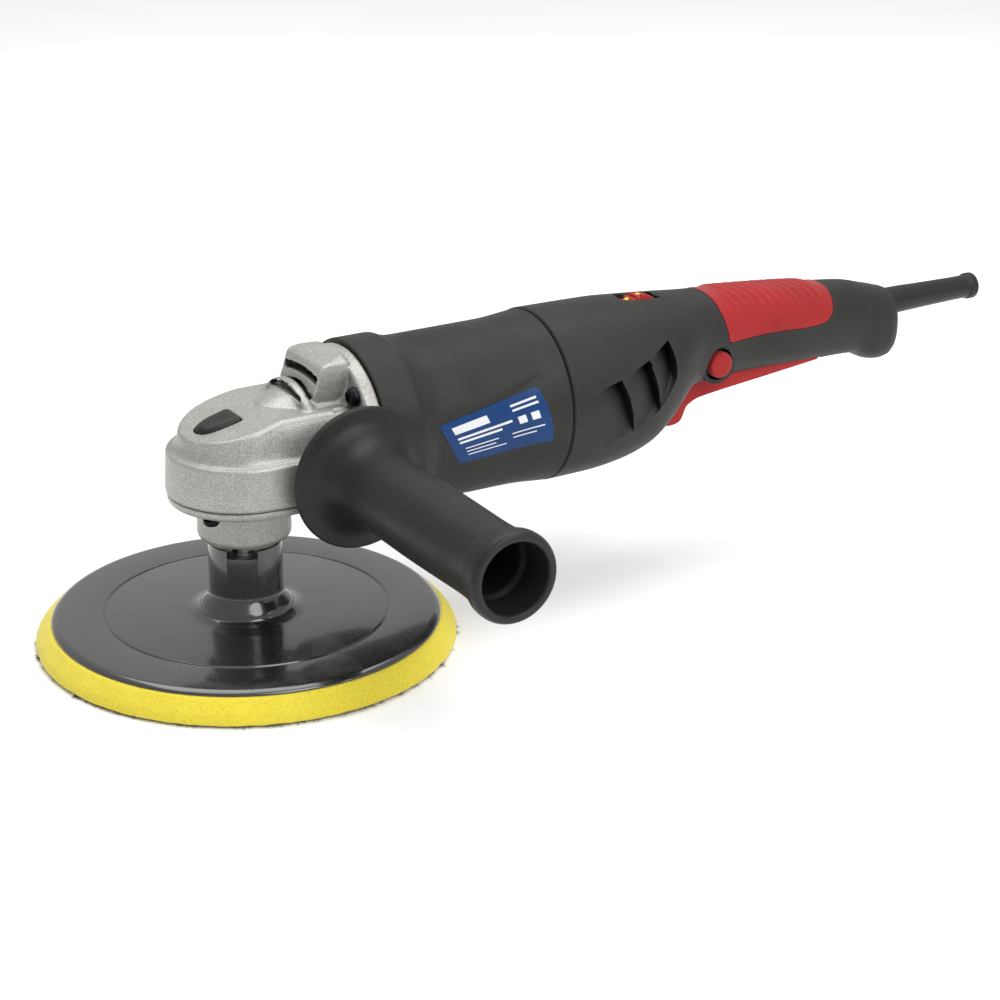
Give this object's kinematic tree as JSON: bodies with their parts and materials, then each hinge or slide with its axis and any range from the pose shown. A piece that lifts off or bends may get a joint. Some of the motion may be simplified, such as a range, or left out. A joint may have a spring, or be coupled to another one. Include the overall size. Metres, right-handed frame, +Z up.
{
  "type": "rotary polisher",
  "caption": "Mains rotary polisher: cast gear head with foam backing pad and spindle lock, round motor body, cross side handle and rear paddle-trigger grip with speed dial.",
  "frame": {"origin": "on the spindle's axis at the working face of the pad", "axes": "+Z up along the spindle, +X back along the motor to the rear handle, the side handle points to -Y"},
  "size_m": [0.487, 0.2535, 0.1234],
  "materials": {
    "cast_aluminium": "sand-cast, speckled silver",
    "steel": "ground",
    "black_steel": "black oxide",
    "lamination": "stacked sheet",
    "copper": "enamelled wire",
    "bronze": "plain",
    "carbon": "matt",
    "charcoal_plastic": "fine moulded grain",
    "black_gloss": "polished",
    "black_plastic": "satin",
    "red_plastic": "satin",
    "red_rubber": "soft, ribbed",
    "yellow_foam": "fine open cells",
    "hook_layer": "hook tape",
    "circuit_board": "solder mask",
    "amber_plastic": "satin"
  },
  "bodies": {
    "machine": {"gear_housing": "cast_aluminium", "bearing_cover": "cast_aluminium", "spindle_bearing_outer": "steel", "spindle_lock_spring": "steel", "side_handle_bolt": "steel", "front_bearing": "steel", "rear_bearing": "steel", "trigger_pin": "steel", "trigger_spring": "steel", "lock_button_spring": "steel", "cover_screw_1": "black_steel", "cover_screw_2": "black_steel", "cover_screw_3": "black_steel", "cover_screw_4": "black_steel", "housing_screw_1": "black_steel", "housing_screw_2": "black_steel", "housing_screw_3": "black_steel", "housing_screw_4": "black_steel", "handle_screw_1": "black_steel", "handle_screw_2": "black_steel", "handle_screw_3": "black_steel", "stator_core": "lamination", "field_coil_upper": "copper", "field_coil_lower": "copper", "spindle_bush": "bronze", "brush_holder_left": "bronze", "brush_holder_right": "bronze", "carbon_brush_left": "carbon", "carbon_brush_right": "carbon", "motor_housing": "charcoal_plastic", "fan_baffle": "charcoal_plastic", "handle_shell_left": "charcoal_plastic", "handle_shell_right": "charcoal_plastic", "side_handle_grip": "black_plastic", "switch_module": "black_plastic", "cord_guard": "black_plastic", "cord_clamp": "black_plastic", "grip_overmould": "red_rubber", "speed_control_board": "circuit_board"},
    "spindle_assembly": {"spindle": "steel", "bevel_gear": "steel", "gear_circlip": "black_steel", "spindle_bearing_inner": "steel", "pad_thread_insert": "steel", "pad_plate": "black_gloss", "pad_foam": "yellow_foam", "pad_hook_layer": "hook_layer"},
    "armature": {"armature_shaft": "steel", "bevel_pinion": "steel", "armature_core": "lamination", "armature_winding_front": "copper", "armature_winding_rear": "copper", "commutator": "copper", "cooling_fan": "black_plastic"},
    "spindle_lock": {"spindle_lock_button": "black_plastic", "spindle_lock_pin": "steel"},
    "trigger_lever": {"trigger": "red_plastic"},
    "plunger": {"switch_plunger": "amber_plastic"},
    "lock_on": {"lock_button": "red_plastic"},
    "dial": {"speed_dial": "red_plastic"}
  },
  "joints": [
    {"name": "spindle_spin", "type": "hinge", "parent": "machine", "child": "spindle_assembly", "pos_m": [0, 0, 0.05], "axis": [0, 0, 1], "continuous": true},
    {"name": "armature_spin", "type": "hinge", "parent": "machine", "child": "armature", "pos_m": [0.095, 0, 0.0848], "axis": [1, 0, 0], "continuous": true},
    {"name": "spindle_lock_press", "type": "slide", "parent": "machine", "child": "spindle_lock", "axis": [0, 0, -1], "range_m": [0, 0.004], "stiffness_N_per_m": 500, "springref_m": -0.004, "deforming": ["spindle_lock_spring"]},
    {"name": "trigger_pull", "type": "hinge", "parent": "machine", "child": "trigger_lever", "pos_m": [0.292, 0, 0.084], "axis": [0, 1, 0], "range_deg": [0, 4], "stiffness_Nm_per_rad": 2, "springref_deg": -8.59, "deforming": ["trigger_spring"]},
    {"name": "switch_plunger_slide", "type": "slide", "parent": "machine", "child": "plunger", "axis": [0, 0, 1], "range_m": [0, 0.0035]},
    {"name": "lock_button_press", "type": "slide", "parent": "machine", "child": "lock_on", "axis": [0, 1, 0], "range_m": [0, 0.003], "stiffness_N_per_m": 400, "springref_m": -0.003, "deforming": ["lock_button_spring"]},
    {"name": "speed_dial_turn", "type": "hinge", "parent": "machine", "child": "dial", "pos_m": [0.198, 0, 0.1106], "axis": [0, 1, 0], "range_deg": [-150, 150]}
  ],
  "couplings": [
    {"joint": "armature_spin", "follows": "spindle_spin", "ratio": 4},
    {"joint": "switch_plunger_slide", "follows": "trigger_pull", "m_per_rad": 0.047}
  ]
}
